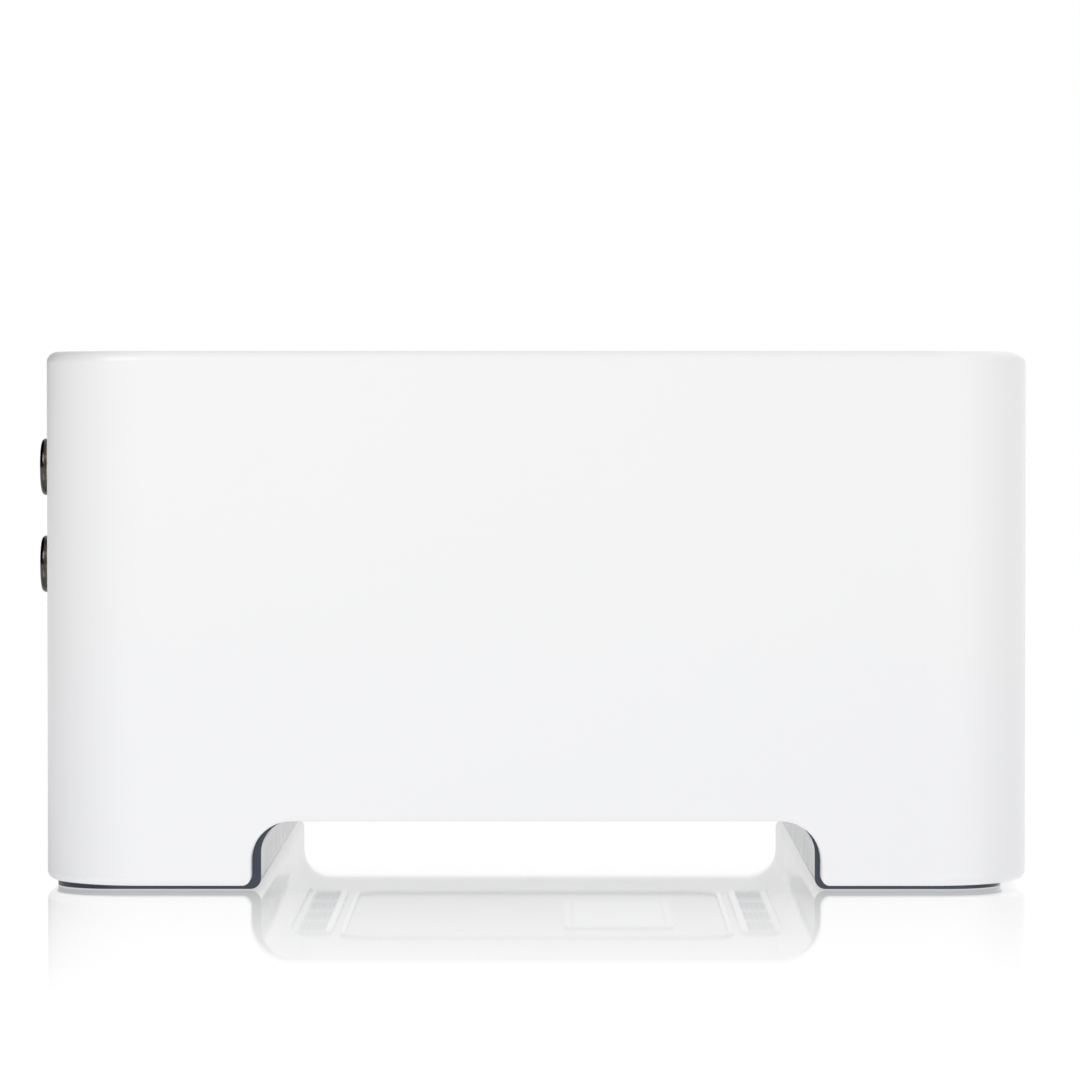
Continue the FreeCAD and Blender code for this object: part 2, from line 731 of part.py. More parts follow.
def heat_sink():
    """A finned block on the processor."""
    x, y = [grown(pair, 3.0) for pair in CHIP]
    foot = MAIN_Z[1] + CHIP_HEIGHT
    base = block(x, y, (foot, foot + 1.8))
    fins = []
    count = 8
    pitch = (x[1] - x[0] - 1.2) / (count - 1)
    for step in range(count):
        start = x[0] + step * pitch
        fins.append(block((start, start + 1.2), y, (foot, foot + 12.0)))
    return fuse([base] + fins)


def memory_chips():
    return group([on_main((-2.0, 9.0), around(y, 18.0), 1.2) for y in (3.0, 24.0)])


def converter_chip():
    return on_main(around(-22.0, 9.0), around(36.0, 9.0), 1.4)


def network_transformer():
    return on_main(around(36.0, 14.0), around(36.0, 11.0), 6.0)


def board_capacitors():
    """The main board's upright capacitors."""
    places = [(-44.0, 30.0), (-44.0, 20.0), (-44.0, 10.0), (-8.0, 40.0), (2.0, 40.0), (12.0, 40.0)]
    return group([rod(3.1, place, (MAIN_Z[1], MAIN_Z[1] + 8.5), Z) for place in places])


RIBBON_X = 34.0
RIBBON_END_Z = MAIN_Z[1] + 1.2
CARD_X = (-30.0, 30.0)
CARD_Z = (40.6, 41.6)


def board_sockets():
    """The edge socket that holds the wireless card, and the connector for the flat cable."""
    x = (CARD_X[0] - 3, CARD_X[1] + 3)
    card_socket = on_main(x, (-43.5, -37.0), 7.0)
    card_slot = block(CARD_X, (-40.0, -36.0), CARD_Z)
    ribbon_socket = on_main(around(RIBBON_X, 18.0), (-48.0, -44.5), 2.6)
    ribbon_slot = block(around(RIBBON_X, 14.4), (-49.0, -46.5), around(RIBBON_END_Z, 0.6))
    return group([cut(card_socket, card_slot), cut(ribbon_socket, ribbon_slot)])


def wireless_card():
    return block(CARD_X, (-40.0, -4.0), CARD_Z)


def wireless_shield():
    """The metal can over the radio."""
    return soft_block((-22.0, 14.0), (-34.0, -10.0), (CARD_Z[1], CARD_Z[1] + 3.0), 1.0)


ANTENNA_Y = (-34.0, 6.0)
ANTENNA_Z = (48.0, 60.0)
ANTENNA_FACE = HALF - WALL - 0.2
ANTENNA_THICK = 0.8
LEAD_R = 0.6


def antennas():
    """A printed antenna strip on the inside of each side wall."""
    left = block((-ANTENNA_FACE, -ANTENNA_FACE + ANTENNA_THICK), ANTENNA_Y, ANTENNA_Z)
    right = block((ANTENNA_FACE - ANTENNA_THICK, ANTENNA_FACE), ANTENNA_Y, ANTENNA_Z)
    return group([left, right])


def antenna_leads():
    return group([antenna_lead(side) for side in (-1, 1)])


def antenna_lead(side):
    """The thin coaxial lead from the card to the antenna on one side."""
    card_end = side * 25.0
    y = -7.0
    wall_end = side * (ANTENNA_FACE - ANTENNA_THICK - LEAD_R)
    points = [
        (card_end, y, CARD_Z[1] + LEAD_R),
        (card_end + side * 16.0, y, CARD_Z[1] + LEAD_R),
        (card_end + side * 28.0, y, CARD_Z[1] + 7.0),
        (wall_end, y + 1.0, ANTENNA_Z[0] + 1.0),
        (wall_end, y - 5.0, ANTENNA_Z[0] + 6.0),
    ]
    return wire_tube(points, LEAD_R)


def on_power(x, y, height):
    return block(x, y, (POWER_Z[1], POWER_Z[1] + height))


def transformer():
    """The power transformer: a ferrite core round a wound bobbin."""
    core = on_power((2.0, 26.0), (12.0, 32.0), 14.0)
    bobbin = on_power((0.0, 28.0), (15.0, 29.0), 12.0)
    return fuse([core, bobbin])


def bulk_capacitor():
    lying_z = POWER_Z[1] + 6.5
    return rod(6.4, (-12.0, lying_z), (8.0, 34.0))


def mains_choke():
    return fuse([on_power((-37.0, -23.0), (24.0, 38.0), 10.0), on_power((-33.0, -27.0), (22.0, 40.0), 8.0)])


def fuse_link():
    return rod(2.6, (-36.0, POWER_Z[1] + 2.8), (2.0, 18.0))


def power_capacitors():
    places = [(34.0, 14.0), (34.0, 24.0), (34.0, 34.0)]
    return group([rod(4.0, place, (POWER_Z[1], POWER_Z[1] + 13.0), Z) for place in places])


def power_heat_sink():
    plate = on_power((-26.0, 24.0), (2.0, 3.4), 14.0)
    return fuse([plate, on_power((-26.0, 24.0), (3.0, 6.0), 1.2)])


WIRE_R = 0.7
WIRE_YS = [18.0 + 2.0 * step for step in range(4)]


def harness_plugs():
    """The plugs at the two ends of the power lead."""
    low = on_power((38.0, 43.0), (16.5, 25.5), 5.0)
    high = on_main((41.0, 46.0), (16.5, 25.5), 5.0)
    return group([low, high])


def power_wires():
    """Four wires from the power supply board round the main board's edge."""
    low = POWER_Z[1] + 2.5
    high = MAIN_Z[1] + 2.5
    wires = []
    for y in WIRE_YS:
        turns = [(51.0, y, low), (57.0, y, low + 5.0), (57.0, y, high - 5.0), (52.0, y, high)]
        points = [(43.0, y, low)] + turns + [(46.0, y, high)]
        wires.append(wire_tube(points, WIRE_R))
    return group(wires)


def ribbon_cable():
    """The flat cable from the button board to the main board."""
    width, thick = 14.0, 0.3
    z_board = 30.0
    y_back = BOARD_Y[1]
    points = [
        (RIBBON_X, y_back + 0.2, z_board),
        (RIBBON_X, y_back + 3.0, z_board + 2.0),
        (RIBBON_X, y_back + 3.0, RIBBON_END_Z + 2.0),
        (RIBBON_X, y_back + 7.4, RIBBON_END_Z),
    ]
    path = bent_path(points)
    start = vec(*points[0])
    direction = vec(*points[1]) - start
    direction.normalize()
    side = vec(width / 2, 0, 0)
    rise = direction.cross(vec(1, 0, 0)) * (thick / 2)
    corners = [start - side - rise, start + side - rise, start + side + rise, start - side + rise]
    outline = Part.makePolygon(corners + corners[:1])
    return path.makePipeShell([outline], True, False)


# ---- fasteners ----------------------------------------------------------------------------------
def screw(place, head_z, length, radius, head_r, head_height, up):
    """A cross-head screw along Z. Its head is at head_z and its shank points up (1) or down (-1)."""
    near = head_z - up * head_height
    head = rod(head_r, place, sorted((head_z, near)), Z)
    shank = rod(radius, place, sorted((head_z, head_z + up * length)), Z)
    depth = sorted((near - up, near + up * 0.9))
    slots = [
        block(around(place[0], head_r), around(place[1], 0.7), depth),
        block(around(place[0], 0.7), around(place[1], head_r), depth),
    ]
    return cut(fuse([head, shank]), *slots)


def case_screws():
    """The four screws that close the case from below."""
    return group([screw(place, 3.2, 18.0, 1.5, 2.8, 1.9, 1) for place in COLUMNS])


def board_screws():
    """The screws that hold both boards."""
    main = [screw(place, MAIN_Z[1], 8.0, 1.3, 2.6, 1.8, -1) for place in POSTS]
    power = [screw(place, POWER_Z[1], 5.0, 1.3, 2.6, 1.8, -1) for place in POWER_POSTS]
    return group(main + power)


def panel_screws():
    """The two screws between the phono jacks."""
    screws = []
    for place in JACK_SCREWS:
        head = rod(2.3, place, (REAR_PLATE[1], REAR_PLATE[1] + 1.5))
        rim = [e for e in head.Edges if abs(e.CenterOfMass.y - REAR_PLATE[1] - 1.5) < 1e-6]
        head = head.makeFillet(0.6, rim)
        shank = rod(1.25, place, (52.5, REAR_PLATE[1] + 0.1))
        depth = (REAR_PLATE[1] + 0.7, REAR_PLATE[1] + 2)
        cross = [
            block(around(place[0], 2.6), depth, around(place[1], 0.6)),
            block(around(place[0], 0.6), depth, around(place[1], 2.6)),
        ]
        screws.append(cut(fuse([head, shank]), *cross))
    return group(screws)


# ---- files --------------------------------------------------------------------------------------
NODES = [
    top_shell, base_tray, rear_panel, foot_pads, rating_label, vent_grilles, vent_mesh,
    line_jack_housing, coax_jack_housing, line_jack_barrels, coax_jack_barrel,
    left_jack_inserts, right_jack_inserts, coax_jack_insert, jack_contacts,
    optical_socket, optical_emitter, optical_shutter,
    network_socket, network_contacts, green_link_lights, amber_link_lights,
    power_inlet, inlet_pins,
    button_switches, button_board, light_pipe, status_light,
    main_board, processor, heat_sink, memory_chips, converter_chip, network_transformer,
    board_capacitors, board_sockets, wireless_card, wireless_shield, antennas, antenna_leads,
    power_board, insulating_sheet, transformer, bulk_capacitor, mains_choke, fuse_link,
    power_capacitors, power_heat_sink, harness_plugs, power_wires, ribbon_cable,
    case_screws, board_screws, panel_screws,
]


def save(name, shape):
    shape = shape.copy()
    shape.translate(vec(0, SHIFT_Y, 0))
    if not shape.isValid():
        print("not valid:", name)
    shape.exportStep(os.path.join("parts", name + ".step"))


def main():
    os.makedirs("parts", exist_ok=True)
    for make in NODES:
        save(make.__name__, make())
    for name in KEYS:
        title = name if name == "mute" else "volume_" + name
        save(title + "_button", button(name))
        save(title + "_plunger", plunger(name))


main()
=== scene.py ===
"""The wireless router's visual model: node materials for every CAD part, and the fine detail that
stands on them. Every length here is in metres, and every place comes from the CAD frame."""

import json
import math
import random

import bmesh
import bpy
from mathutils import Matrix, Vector


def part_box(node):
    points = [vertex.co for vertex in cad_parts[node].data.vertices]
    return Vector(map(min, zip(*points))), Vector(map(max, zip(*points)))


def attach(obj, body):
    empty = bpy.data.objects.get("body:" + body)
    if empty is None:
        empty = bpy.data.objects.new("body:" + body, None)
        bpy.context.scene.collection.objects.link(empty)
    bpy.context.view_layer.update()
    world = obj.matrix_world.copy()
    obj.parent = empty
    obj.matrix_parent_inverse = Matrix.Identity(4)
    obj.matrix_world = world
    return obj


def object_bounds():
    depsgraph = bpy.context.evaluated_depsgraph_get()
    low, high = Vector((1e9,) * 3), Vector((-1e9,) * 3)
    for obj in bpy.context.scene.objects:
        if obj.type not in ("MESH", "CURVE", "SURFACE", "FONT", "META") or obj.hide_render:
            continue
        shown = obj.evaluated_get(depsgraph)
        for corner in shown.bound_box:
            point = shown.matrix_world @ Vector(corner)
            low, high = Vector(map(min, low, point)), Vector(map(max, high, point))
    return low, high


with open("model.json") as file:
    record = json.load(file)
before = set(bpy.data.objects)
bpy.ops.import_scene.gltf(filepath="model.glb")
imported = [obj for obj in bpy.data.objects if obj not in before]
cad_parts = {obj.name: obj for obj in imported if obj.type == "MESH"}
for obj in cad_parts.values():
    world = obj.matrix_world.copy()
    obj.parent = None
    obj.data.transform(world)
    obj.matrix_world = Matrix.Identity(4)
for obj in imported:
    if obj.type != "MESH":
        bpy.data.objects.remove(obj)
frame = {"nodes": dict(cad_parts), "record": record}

CAD_LOW, CAD_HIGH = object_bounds()
NODES = frame["nodes"]
MM = 0.001


# ---- camera -------------------------------------------------------------------------------------
CAMERA_DISTANCE = 0.727      # from the near side of the case
CAMERA_HEIGHT = 0.0666
CAMERA_ASIDE = -0.0022       # from the case's middle, towards the front
CAMERA_LENS = 177.6          # on a 36 mm sensor
PITCH = math.radians(1.45)
YAW = math.radians(0.13)


def add_camera():
    """Square on to the case's left side, looking along +X."""
    low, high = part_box("top_shell")
    data = bpy.data.cameras.new("camera")
    data.sensor_width = 36.0
    data.lens = CAMERA_LENS
    data.clip_start = 0.01
    data.clip_end = 50.0
    camera = bpy.data.objects.new("camera", data)
    bpy.context.scene.collection.objects.link(camera)
    middle_y = (low.y + high.y) / 2
    camera.location = (low.x - CAMERA_DISTANCE, middle_y + CAMERA_ASIDE, CAMERA_HEIGHT)
    look = Vector((1.0, math.tan(YAW), -math.tan(PITCH)))
    camera.rotation_euler = look.to_track_quat("-Z", "Y").to_euler()
    bpy.context.scene.camera = camera


# ---- node helpers -------------------------------------------------------------------------------
class Shader:
    """A material's node tree with short calls for the nodes that the materials share."""

    def __init__(self, name, base=(0.8, 0.8, 0.8), **sockets):
        self.material = bpy.data.materials.new(name)
        self.material.use_nodes = True
        self.tree = self.material.node_tree
        self.surface = self.tree.nodes["Principled BSDF"]
        self.surface.inputs["Base Color"].default_value = (*base, 1.0)
        for socket, value in sockets.items():
            self.surface.inputs[socket.replace("_", " ")].default_value = value
        self.height = None

    def node(self, kind, **settings):
        made = self.tree.nodes.new(kind)
        for key, value in settings.items():
            if hasattr(made, key):
                setattr(made, key, value)
            else:
                made.inputs[key.replace("_", " ")].default_value = value
        return made

    def link(self, output, target):
        self.tree.links.new(output, target)

    def place(self, stretch=None):
        """Object coordinates, in metres, stretched along the axes if asked."""
        output = self.node("ShaderNodeTexCoord").outputs["Object"]
        if stretch is None:
            return output
        mapping = self.node("ShaderNodeMapping")
        mapping.inputs["Scale"].default_value = stretch
        self.link(output, mapping.inputs["Vector"])
        return mapping.outputs["Vector"]

    def noise(self, scale, detail=2.0, stretch=None):
        made = self.node("ShaderNodeTexNoise", Scale=scale, Detail=detail)
        self.link(self.place(stretch), made.inputs["Vector"])
        return made.outputs["Fac"]

    def spread(self, value, low, high, source=(0.0, 1.0)):
        """value mapped from its source range to low..high."""
        made = self.node("ShaderNodeMapRange")
        for socket, number in zip(("From Min", "From Max", "To Min", "To Max"), (*source, low, high)):
            made.inputs[socket].default_value = number
        self.link(value, made.inputs["Value"])
        return made.outputs["Result"]

    def maths(self, operation, a, b=None):
        made = self.node("ShaderNodeMath", operation=operation)
        for socket, value in zip(made.inputs, (a, b)):
            if isinstance(value, (int, float)):
                socket.default_value = value
            elif value is not None:
                self.link(value, socket)
        return made.outputs["Value"]

    def mix(self, factor, a, b):
        made = self.node("ShaderNodeMix", data_type="RGBA")
        for socket, value in ((made.inputs[0], factor), (made.inputs[6], a), (made.inputs[7], b)):
            if isinstance(value, tuple):
                socket.default_value = (*value, 1.0)
            else:
                self.link(value, socket)
        return made.outputs[2]

    def axes(self):
        made = self.node("ShaderNodeSeparateXYZ")
        self.link(self.place(), made.inputs["Vector"])
        return made.outputs

    def colour(self, output):
        self.link(output, self.surface.inputs["Base Color"])

    def roughness(self, output):
        self.link(output, self.surface.inputs["Roughness"])

    def bump(self, height, distance, strength=1.0):
        made = self.node("ShaderNodeBump", Distance=distance, Strength=strength)
        self.link(height, made.inputs["Height"])
        if self.height is not None:
            self.link(self.height, made.inputs["Normal"])
        self.height = made.outputs["Normal"]
        self.link(self.height, self.surface.inputs["Normal"])


def shade(colour, factor):
    return tuple(min(1.0, channel * factor) for channel in colour)


def moulded(name, base, rough, grain=1800.0, depth=0.00002, drift=0.04, spread=0.06, **sockets):
    """Moulded plastic: a spark-eroded grain, faint cloudy colour drift and uneven gloss."""
    made = Shader(name, base, **sockets)
    cloud = made.noise(45.0, 3.0)
    made.colour(made.mix(cloud, shade(base, 1.0 - drift), shade(base, 1.0 + drift)))
    fine = made.noise(grain, 3.0)
    patchy = made.noise(120.0, 4.0)
    uneven = made.maths("MULTIPLY", fine, patchy)
    made.roughness(made.spread(uneven, rough - spread, rough + spread, (0.1, 0.5)))
    made.bump(fine, depth)
    return made


def metal(name, base, rough, stretch=(1.0, 1.0, 1.0), grain=900.0, depth=0.000008, spread=0.08):
    """Metal with drawn or rolled streaks, and slightly duller patches."""
    made = Shader(name, base, Metallic=1.0)
    streak = made.noise(grain, 3.0, stretch)
    cloud = made.noise(160.0, 4.0)
    made.colour(made.mix(cloud, shade(base, 0.88), shade(base, 1.04)))
    made.roughness(made.spread(streak, rough - spread, rough + spread, (0.3, 0.7)))
    made.bump(streak, depth)
    return made


# ---- materials by slot --------------------------------------------------------------------------
def shell_white(name):
    """Satin white casing plastic, with painted shade: a touch darker and cooler towards the foot."""
    made = moulded(name, (0.90, 0.90, 0.902), 0.36, grain=2600.0, depth=0.000012, drift=0.004)
    # painted shade: the white turns slightly darker and bluer from three quarters of the height down to a
    # fifth of it
    height = made.spread(made.axes()[2], 0.0, 1.0, (CAD_HIGH.z * 0.75, CAD_HIGH.z * 0.2))
    cloud = made.noise(30.0, 3.0)
    plain = made.mix(cloud, (0.895, 0.895, 0.897), (0.905, 0.905, 0.906))
    # the painted shade, a darker, bluer white, is mixed in lower down
    made.colour(made.mix(height, plain, (0.888, 0.890, 0.908)))
    made.surface.inputs["Coat Weight"].default_value = 0.12
    made.surface.inputs["Coat Roughness"].default_value = 0.25
    return made


def base_slate(name):
    """Dark blue-grey plastic, moulded smooth enough to mirror at a low angle."""
    made = moulded(name, (0.020, 0.034, 0.054), 0.34, grain=1500.0, depth=0.000002, drift=0.08)
    made.surface.inputs["Coat Weight"].default_value = 0.55
    made.surface.inputs["Coat Roughness"].default_value = 0.07
    return made


def panel_slate(name):
    return moulded(name, (0.060, 0.074, 0.090), 0.48, grain=1500.0, depth=0.00004, drift=0.08)


def pad_rubber(name):
    made = moulded(name, (0.028, 0.028, 0.030), 0.78, grain=900.0, depth=0.00006, drift=0.2)
    ribs = made.node("ShaderNodeTexWave", Scale=260.0, bands_direction="X")
    made.link(made.place(), ribs.inputs["Vector"])
    made.bump(ribs.outputs["Fac"], 0.00012, 0.6)
    return made


def label_silver(name):
    """A blank foil label with a printed border."""
    made = metal(name, (0.30, 0.31, 0.33), 0.42, (1.0, 12.0, 1.0), 700.0)
    low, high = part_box("rating_label")
    axes = made.axes()
    border = 1.2 * MM
    line = 0.25 * MM
    inset = []
    for axis in (0, 1):
        middle = (low[axis] + high[axis]) / 2
        half = (high[axis] - low[axis]) / 2 - border
        away = made.maths("ABSOLUTE", made.maths("SUBTRACT", axes[axis], middle))
        inset.append(made.maths("SUBTRACT", away, half))
    edge = made.maths("ABSOLUTE", made.maths("MAXIMUM", inset[0], inset[1]))
    printed = made.maths("LESS_THAN", edge, line)
    made.colour(made.mix(printed, (0.30, 0.31, 0.33), (0.08, 0.09, 0.10)))
    made.surface.inputs["Metallic"].default_value = 0.0
    made.surface.inputs["Coat Weight"].default_value = 0.7
    made.surface.inputs["Coat Roughness"].default_value = 0.08
    return made


def key_white(name):
    """Button plastic, with grey paint in the marks sunk into the faces."""
    made = moulded(name, (0.80, 0.80, 0.81), 0.40, grain=2600.0, depth=0.000012, drift=0.01)
    axes = made.axes()
    reach = 2.7 * MM             # half the size of the square that holds a mark
    near_face = 0.18 * MM
    mark_floor = 0.4 * MM
    marks = None
    for node in ("mute_button", "volume_up_button", "volume_down_button"):
        low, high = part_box(node)
        x = made.maths("SUBTRACT", axes[0], (low.x + high.x) / 2)
        z = made.maths("SUBTRACT", axes[2], (low.z + high.z) / 2)
        away = made.maths("MAXIMUM", made.maths("ABSOLUTE", x), made.maths("ABSOLUTE", z))
        inside = made.maths("LESS_THAN", away, reach)
        marks = inside if marks is None else made.maths("MAXIMUM", marks, inside)
    face_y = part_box("mute_button")[0].y
    sunk = made.maths("GREATER_THAN", axes[1], face_y + near_face)
    shallow = made.maths("LESS_THAN", axes[1], face_y + mark_floor)
    paint = made.maths("MULTIPLY", made.maths("MULTIPLY", sunk, shallow), marks)
    cloud = made.noise(45.0, 3.0)
    plain = made.mix(cloud, (0.79, 0.79, 0.80), (0.81, 0.81, 0.82))
    made.colour(made.mix(paint, plain, (0.16, 0.18, 0.20)))
    return made


def clear_plastic(name):
    made = moulded(name, (0.90, 0.93, 0.95), 0.14, grain=900.0, depth=0.000004, drift=0.01, spread=0.04)
    made.surface.inputs["Transmission Weight"].default_value = 0.55
    made.surface.inputs["IOR"].default_value = 1.49
    return made


def black_plastic(name):
    return moulded(name, (0.018, 0.018, 0.020), 0.38, grain=1400.0, depth=0.00002, drift=0.15)


def gloss(name, base, rough=0.2):
    made = moulded(name, base, rough, grain=700.0, depth=0.000006, drift=0.04, spread=0.05)
    made.surface.inputs["Coat Weight"].default_value = 0.3
    return made


def jack_nickel(name):
    """Black nickel with fine turning marks round each barrel, and a brassy band near its mouth painted
    lighter as a groove's highlight.
    """
    made = metal(name, (0.085, 0.080, 0.072), 0.20, (1.0, 30.0, 1.0), 500.0, 0.000004, 0.06)
    axes = made.axes()
    mouth_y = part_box("line_jack_barrels")[1].y
    # painted highlight: the lighter brassy band lies between these depths behind the mouth
    groove_highlight = (1.31 * MM, 0.94 * MM)     # behind the mouth
    past = made.maths("GREATER_THAN", axes[1], mouth_y - groove_highlight[0])
    short = made.maths("LESS_THAN", axes[1], mouth_y - groove_highlight[1])
    cloud = made.noise(160.0, 4.0)
    dark = made.mix(cloud, (0.070, 0.066, 0.060), (0.095, 0.090, 0.080))
    # the painted highlight band is mixed over the dark barrel
    made.colour(made.mix(made.maths("MULTIPLY", past, short), dark, (0.30, 0.24, 0.14)))
    return made


def contact_gold(name):
    return metal(name, (0.86, 0.62, 0.26), 0.22, (1.0, 8.0, 1.0), 700.0)


def steel(name):
    return metal(name, (0.50, 0.50, 0.51), 0.33, (1.0, 1.0, 1.0), 1200.0)


def tinned_steel(name):
    return metal(name, (0.66, 0.66, 0.66), 0.28, (1.0, 1.0, 14.0), 500.0)


def aluminium(name):
    return metal(name, (0.68, 0.69, 0.70), 0.36, (1.0, 16.0, 1.0), 600.0)


def board_green(name):
    """Solder mask over copper: raised tracks, ground fill and through holes."""
    made = Shader(name, (0.01, 0.10, 0.05))
    cells = made.node("ShaderNodeTexVoronoi", Scale=320.0, distance="CHEBYCHEV", feature="DISTANCE_TO_EDGE")
    made.link(made.place(), cells.inputs["Vector"])
    track = made.maths("LESS_THAN", cells.outputs["Distance"], 0.09)
    dots = made.node("ShaderNodeTexVoronoi", Scale=260.0)
    made.link(made.place(), dots.inputs["Vector"])
    via = made.maths("LESS_THAN", dots.outputs["Distance"], 0.13)
    cloud = made.noise(60.0, 3.0)
    mask = made.mix(cloud, (0.008, 0.085, 0.045), (0.012, 0.115, 0.060))
    traced = made.mix(track, mask, (0.030, 0.190, 0.090))
    made.colour(made.mix(via, traced, (0.55, 0.48, 0.30)))
    made.roughness(made.spread(made.noise(900.0), 0.22, 0.38))
    made.bump(track, 0.00003)
    return made


def chip_black(name):
    return moulded(name, (0.022, 0.022, 0.024), 0.55, grain=2200.0, depth=0.00003, drift=0.12)


def capacitor_sleeve(name):
    return gloss(name, (0.015, 0.022, 0.060), 0.26)


def winding_tape(name):
    made = gloss(name, (0.62, 0.42, 0.04), 0.24)
    wraps = made.node("ShaderNodeTexWave", Scale=70.0, Distortion=0.4, bands_direction="Z")
    made.link(made.place(), wraps.inputs["Vector"])
    made.bump(wraps.outputs["Fac"], 0.00015)
    return made


def ferrite(name):
    return moulded(name, (0.040, 0.040, 0.044), 0.62, grain=1500.0, depth=0.00005, drift=0.15)


def wire_jacket(name):
    return gloss(name, (0.42, 0.020, 0.020), 0.36)


def lead_grey(name):
    return gloss(name, (0.09, 0.095, 0.105), 0.42)


def ribbon_white(name):
    """Flat cable, with its conductors showing as stripes."""
    made = gloss(name, (0.72, 0.73, 0.74), 0.34)
    stripes = made.node("ShaderNodeTexWave", Scale=320.0, bands_direction="X")
    made.link(made.place(), stripes.inputs["Vector"])
    made.colour(made.mix(stripes.outputs["Fac"], (0.62, 0.63, 0.64), (0.78, 0.79, 0.80)))
    made.bump(stripes.outputs["Fac"], 0.00005)
    return made


def sheet_clear(name):
    return moulded(name, (0.62, 0.63, 0.58), 0.30, grain=400.0, depth=0.00002, drift=0.03)


def grille_grey(name):
    return moulded(name, (0.70, 0.71, 0.73), 0.34, grain=1800.0, depth=0.000015, drift=0.02)


def gauze(name):
    """A woven dust gauze."""
    made = Shader(name, (0.16, 0.17, 0.19), Roughness=0.8)
    weave = []
    for direction in ("X", "Y"):
        threads = made.node("ShaderNodeTexWave", Scale=420.0, bands_direction=direction)
        made.link(made.place(), threads.inputs["Vector"])
        weave.append(threads.outputs["Fac"])
    cloth = made.maths("MULTIPLY", *weave)
    made.colour(made.mix(cloth, (0.30, 0.32, 0.35), (0.10, 0.11, 0.12)))
    made.roughness(made.spread(made.noise(800.0), 0.7, 0.9))
    made.bump(cloth, 0.0001)
    return made


def lamp(name, base):
    made = gloss(name, base, 0.18)
    made.surface.inputs["Transmission Weight"].default_value = 0.3
    return made


FINISHES = {
    "shell_white": shell_white,
    "base_slate": base_slate,
    "panel_slate": panel_slate,
    "pad_rubber": pad_rubber,
    "label_silver": label_silver,
    "key_white": key_white,
    "clear_plastic": clear_plastic,
    "black_plastic": black_plastic,
    "white_insert": lambda name: gloss(name, (0.78, 0.78, 0.75)),
    "red_insert": lambda name: gloss(name, (0.52, 0.018, 0.020)),
    "orange_insert": lambda name: gloss(name, (0.78, 0.21, 0.015)),
    "jack_nickel": jack_nickel,
    "contact_gold": contact_gold,
    "steel": steel,
    "tinned_steel": tinned_steel,
    "aluminium": aluminium,
    "board_green": board_green,
    "chip_black": chip_black,
    "capacitor_sleeve": capacitor_sleeve,
    "winding_tape": winding_tape,
    "ferrite": ferrite,
    "wire_jacket": wire_jacket,
    "lead_grey": lead_grey,
    "ribbon_white": ribbon_white,
    "sheet_clear": sheet_clear,
    "grille_grey": grille_grey,
    "gauze": gauze,
    "lamp_green": lambda name: lamp(name, (0.05, 0.42, 0.09)),
    "lamp_amber": lambda name: lamp(name, (0.85, 0.36, 0.03)),
    "lamp_white": lambda name: lamp(name, (0.90, 0.88, 0.70)),
    "emitter_red": lambda name: lamp(name, (0.60, 0.02, 0.02)),
    "antenna_film": lambda name: gloss(name, (0.30, 0.13, 0.02), 0.3),
}
MADE = {}


def finish_for(slot):
    if slot not in MADE:
        MADE[slot] = FINISHES[slot](slot).material
    return MADE[slot]


def paint_nodes():
    """Gives every CAD node the material of its slot."""
    for part in frame["record"]["subparts"]:
        mesh = NODES[part["node"]].data
        mesh.materials.clear()
        mesh.materials.append(finish_for(part["material_slot"]))


# ---- fine detail --------------------------------------------------------------------------------
PANEL_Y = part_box("network_socket")[1].y - 0.9 * MM     # the rear panel's face
PRINT = 0.05 * MM                                       # thickness of a printed mark


def islands(node):
    """The (low, high) box of each separate solid in a CAD node."""
    mesh = NODES[node].data
    points = [tuple(round(c * 1e6) for c in vertex.co) for vertex in mesh.vertices]
    parent = {point: point for point in points}

    def root(point):
        while parent[point] != point:
            parent[point] = parent[parent[point]]
            point = parent[point]
        return point

    for face in mesh.polygons:
        first = root(points[face.vertices[0]])
        for index in face.vertices[1:]:
            parent[root(points[index])] = first
    groups = {}
    for point in parent:
        groups.setdefault(root(point), []).append(point)
    boxes = []
    for members in groups.values():
        low = Vector([min(m[i] for m in members) * 1e-6 for i in range(3)])
        high = Vector([max(m[i] for m in members) * 1e-6 for i in range(3)])
        boxes.append((low, high))
    return sorted(boxes, key=lambda pair: tuple(pair[0]))


def piece(name, made, slot, smooth=False):
    """Turns a bmesh into a piece that stands on the housing."""
    bmesh.ops.recalc_face_normals(made, faces=made.faces)
    mesh = bpy.data.meshes.new(name)
    made.to_mesh(mesh)
    made.free()
    for face in mesh.polygons:
        face.use_smooth = smooth
    mesh.materials.append(finish_for(slot))
    obj = bpy.data.objects.new(name, mesh)
    bpy.context.scene.collection.objects.link(obj)
    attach(obj, "housing")


def prism(made, outline, y):
    """A flat shape from (x, z) points, given thickness along Y."""
    sides = [[made.verts.new((x, depth, z)) for x, z in outline] for depth in y]
    made.faces.new(sides[0])
    made.faces.new(sides[1])
    count = len(outline)
    for i in range(count):
        j = (i + 1) % count
        made.faces.new((sides[0][i], sides[0][j], sides[1][j], sides[1][i]))


def circle(x, z, radius, count=64):
    turn = 2 * math.pi / count
    return [(x + radius * math.cos(turn * i), z + radius * math.sin(turn * i)) for i in range(count)]


def square(x, z, width, height):
    half = width / 2
    rise = height / 2
    return [(x - half, z - rise), (x + half, z - rise), (x + half, z + rise), (x - half, z + rise)]


def band(made, outer, inner, y):
    """The closed band between two outlines with as many points each."""
    rings = []
    for outline in (outer, inner):
        rings += [[made.verts.new((px, depth, pz)) for px, pz in outline] for depth in y]
    count = len(outer)
    for a, b in ((0, 1), (1, 3), (3, 2), (2, 0)):
        for i in range(count):
            j = (i + 1) % count
            made.faces.new((rings[a][i], rings[a][j], rings[b][j], rings[b][i]))


